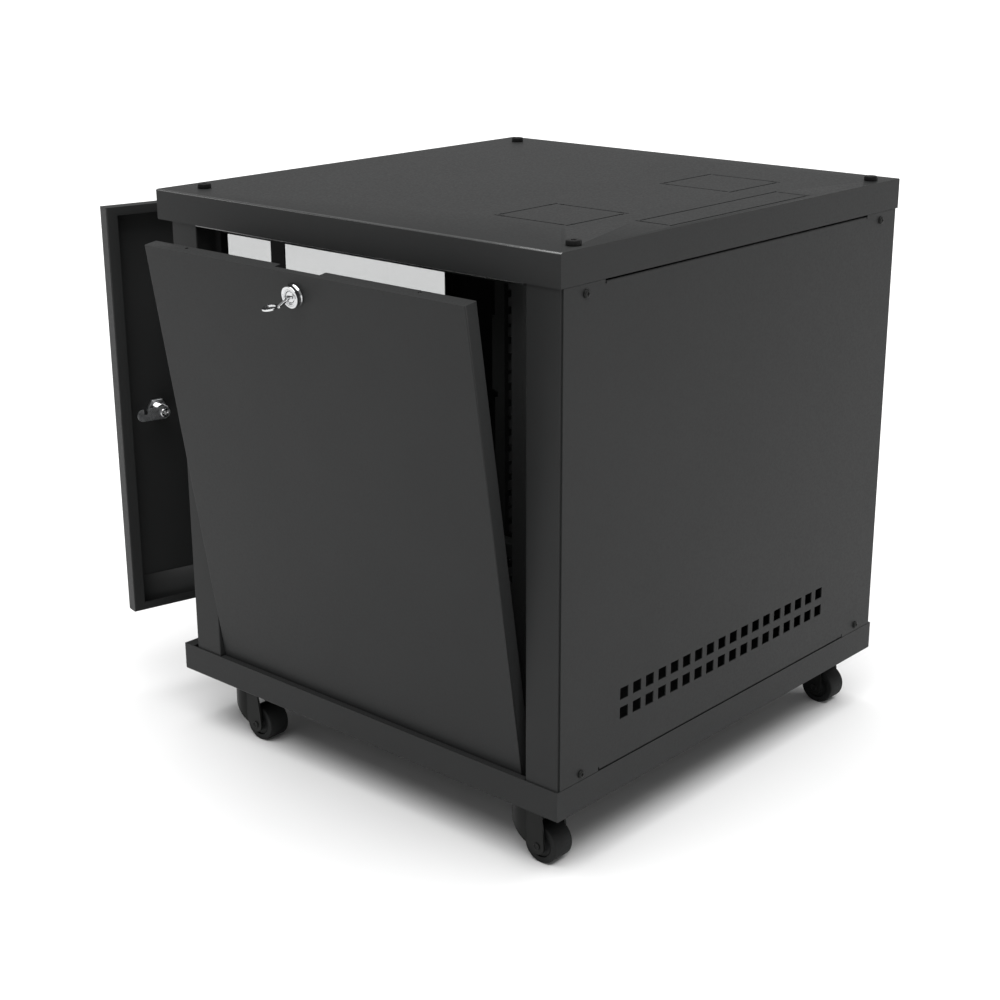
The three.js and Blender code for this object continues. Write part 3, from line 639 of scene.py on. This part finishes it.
def make_key():
    """A cut blade, a shank that drops a little, and a level ring bow off to one side."""
    seat = lock_axes("right_latch_turn")
    flat = Matrix.Rotation(math.pi / 2, 4, "X")
    drop, rise = 4.5, 14.5
    length = math.hypot(drop, rise) + 0.8
    blade = [
        (-3.4, -10), (-2.4, -10), (-1.6, -8.8), (3.5, -8.8), (3.5, -6.4), (2.6, -5.6),
        (3.5, -4.6), (3.5, -2), (2.8, -1), (3.5, 0), (3.5, 7.4), (2.8, 8), (-2.8, 8),
        (-3.5, 7.4), (-3.5, -9.6),
    ]
    shank = [(-1.8, -0.4), (1.8, -0.4), (1.8, length - 1), (1, length), (-1, length),
             (-1.8, length - 1)]
    outer = [(7.2 * math.cos(t) - 6, 4.8 + 8.6 * math.sin(t)) for t in even_turns(48)]
    inner = [(4.6 * math.cos(t) - 6, 5 + 5.8 * math.sin(t)) for t in even_turns(48)]
    tilt = Matrix.Rotation(math.atan2(drop, rise), 4, "X")
    bm = joined(
        (extruded(blade, -0.95, 0.95), seat @ flat),
        (extruded(shank, -0.95, 0.95), seat @ placed(0, 0, 7.5) @ tilt @ flat),
        (extruded(outer, -0.9, 0.9, inner), seat @ placed(0, -drop, 7.5 + rise) @ flat),
    )
    key = add_piece("ring_key", finished(bm, "ring_key"), chrome, "key", ["right_key"])
    eased(key, 0.25 * MM)


def even_turns(count):
    return [2 * math.pi * i / count for i in range(count)]


make_key()


# ---------------------------------------------------------------- hinge pins
def make_hinge_pins():
    for end in ("bottom", "top"):
        node = f"hinge_pin_{end}"
        low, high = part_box(node)
        base, rise = (low.z, 1) if end == "bottom" else (high.z, -1)
        profile = [
            (0, 0), (2.6, 0), (3, 0.5), (3, 7.5), (3.9, 7.5), (4.2, 7.8), (4.2, 13.6),
            (3.9, 14), (3, 14), (3, 19.4), (2.4, 20), (0, 20),
        ]
        spot = Matrix.Translation(((low.x + high.x) / 2, (low.y + high.y) / 2, base))
        bm = joined((lathe([(r, z * rise) for r, z in profile], 40), spot))
        name = f"hinge_spring_pin_{end}"
        add_piece(name, finished(bm, name), zinc, "front_door", [node])


make_hinge_pins()


# ---------------------------------------------------------------- casters
def make_caster(place):
    swivel = Vector(joint_named(f"caster_swivel_{place}")["pos_m"])
    hub = Matrix.Translation(Vector(joint_named(f"wheel_spin_{place}")["pos_m"]))
    axis = Matrix.Translation((swivel.x, swivel.y, 0))
    turn_x = Matrix.Rotation(math.pi / 2, 4, "Y")

    half = [(3.5, 13.7), (7.6, 13.7), (8, 13.3), (8, 12.1), (8.3, 11.8), (12.4, 11.8),
            (12.7, 11.2), (13.3, 11.2), (13.5, 12.6), (13.9, 12.9)]
    shoulder = arc(18.8, 11.5, 1.4, 90, 0, 6)
    wheel = half + shoulder + [(r, -z) for r, z in reversed(half + shoulder)]
    name = f"caster_tyre_{place}"
    piece = add_piece(name, finished(joined((lathe(wheel, 72), hub @ turn_x)), name),
                      wheel_nylon, f"caster_roller_{place}", [f"caster_wheel_{place}"])
    piece.data.materials.append(wheel_tread)
    for face in piece.data.polygons:
        middle = face.center - hub.translation
        if math.hypot(middle.y, middle.z) > 19.6 * MM:
            face.material_index = 1

    pin = [
        (0, -18.9), (2, -18.9), (2.5, -19.2), (3.4, -19.3), (3.9, -18.9), (4, -18.3),
        (3, -18.3), (3, 18.3), (4, 18.3), (3.9, 18.9), (3.4, 19.3), (2.5, 19.2), (2.2, 18.7),
        (0, 18.6),
    ]
    name = f"caster_rivet_{place}"
    bm = joined((lathe(pin), hub @ turn_x))
    add_piece(name, finished(bm, name), black_steel, f"caster_swivel_{place}",
              [f"caster_axle_{place}"])

    folded_sheet(f"caster_fork_{place}", black_steel, bend=0.8 * MM)

    plate = [point for corner in ((22, 22, 0), (-22, 22, 90), (-22, -22, 180), (22, -22, 270))
             for point in arc(corner[0], corner[1], 4, corner[2], corner[2] + 90, 6)]
    race = [(0, -6), (15.6, -6), (16.6, -5.6), (17, -4.9), (17, -3.6), (16.2, -2.8), (0, -2.8)]
    king = [(0, -12.4), (5.8, -12.4), (6.7, -12), (7, -11.3), (7, -9.6), (4, -9.6), (4, -5.9),
            (0, -5.9)]
    screw = [(0, -6.2), (1.3, -6.0, "cross"), (2.2, -5.2, "cross"), (2.8, -5.3), (4, -4.9),
             (4.6, -4.1), (4.7, -2.8), (0, -2.8)]
    parts = [
        (extruded(plate, -2.8, -0.3), axis), (lathe(race, 64), axis), (lathe(king, 40), axis)
    ]
    for x in (-20.5, 20.5):
        for y in (-20.5, 20.5):
            parts.append((lathe(screw, 32), axis @ placed(x, y, 0)))
    name = f"caster_mount_{place}"
    add_piece(name, finished(joined(*parts), name), black_steel, "cabinet",
              [f"caster_plate_{place}"])


for place in PLACES:
    make_caster(place)


make_camera()
make_studio()
